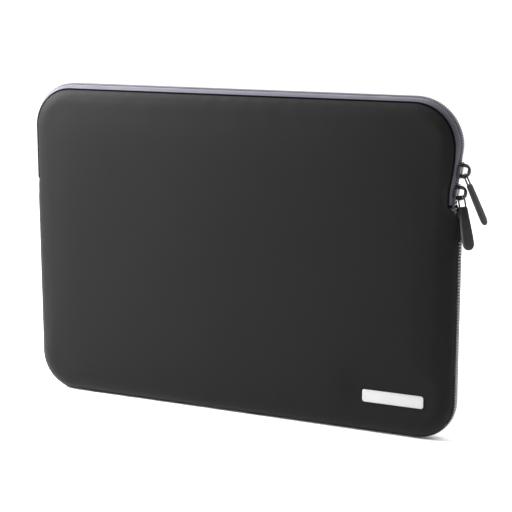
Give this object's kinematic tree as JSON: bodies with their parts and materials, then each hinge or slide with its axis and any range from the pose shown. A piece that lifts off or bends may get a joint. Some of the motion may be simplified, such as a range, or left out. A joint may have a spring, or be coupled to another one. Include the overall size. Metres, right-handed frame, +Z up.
{
  "type": "padded laptop sleeve",
  "caption": "Slim padded sleeve with a zip round its top and upper sides, two sliders with rubber pulls and a blank metal badge; holds a 13-inch laptop.",
  "frame": {"origin": "centre of the flat seam band that the sleeve stands on", "axes": "+X along the width (longest), -Y out of the front face with the badge, +Z up from the bottom edge to the zip"},
  "size_m": [0.379, 0.0229, 0.255],
  "materials": {
    "shell_fabric": "matt black stretch fabric with a fine knit",
    "foam": "closed soft foam",
    "lining": "short brushed plush",
    "seam_thread": "overstitched seam, dark and light grey thread",
    "zip_tape": "woven violet-grey tape",
    "zip_coil": "nylon coil",
    "binding": "woven bias binding",
    "bar_tack_thread": "dense satin stitching",
    "slider_metal": "glossy black plated die casting",
    "pull_wire": "black plated wire",
    "pull_rubber": "satin moulded rubber",
    "badge_metal": "satin with a polished edge",
    "backing_metal": "stamped strip"
  },
  "bodies": {
    "sleeve": {"front_panel_lower": "shell_fabric", "front_foam_lower": "foam", "front_lining_lower": "lining", "back_panel": "shell_fabric", "back_foam": "foam", "back_lining": "lining", "side_seam": "seam_thread", "zip_tape_front_lower": "zip_tape", "zip_tape_back": "zip_tape", "zip_coil_front_lower": "zip_coil", "zip_coil_back": "zip_coil", "binding_back": "binding", "zip_end_tabs": "binding", "zip_end_stops": "slider_metal", "bar_tacks": "bar_tack_thread", "badge_plate": "badge_metal", "badge_backing": "backing_metal"},
    "mouth_flap": {"front_panel_flap": "shell_fabric", "front_foam_flap": "foam", "front_lining_flap": "lining", "zip_tape_front_flap": "zip_tape", "zip_coil_front_flap": "zip_coil", "binding_front_flap": "binding"},
    "upper_slider": {"slider_upper_body": "slider_metal"},
    "lower_slider": {"slider_lower_body": "slider_metal"},
    "upper_pull": {"pull_upper_link": "pull_wire", "pull_upper_grip": "pull_rubber"},
    "lower_pull": {"pull_lower_link": "pull_wire", "pull_lower_grip": "pull_rubber"}
  },
  "joints": [
    {"name": "mouth_open", "type": "hinge", "parent": "sleeve", "child": "mouth_flap", "pos_m": [0, -0.0112, 0.22], "axis": [1, 0, 0], "range_deg": [0, 40], "stiffness_Nm_per_rad": 0.08},
    {"name": "slider_upper_travel", "type": "slide", "parent": "sleeve", "child": "upper_slider", "axis": [0.1392, 0, 0.9903], "range_m": [0, 0.01]},
    {"name": "slider_lower_travel", "type": "slide", "parent": "sleeve", "child": "lower_slider", "axis": [0.1392, 0, 0.9903], "range_m": [0, 0.0025]},
    {"name": "pull_upper_swing", "type": "hinge", "parent": "upper_slider", "child": "upper_pull", "pos_m": [0.18105, 0, 0.20012], "axis": [0, -1, 0], "range_deg": [0, 140]},
    {"name": "pull_lower_swing", "type": "hinge", "parent": "lower_slider", "child": "lower_pull", "pos_m": [0.1788, 0, 0.18408], "axis": [-0.5, -0.866, 0], "range_deg": [0, 20]}
  ]
}
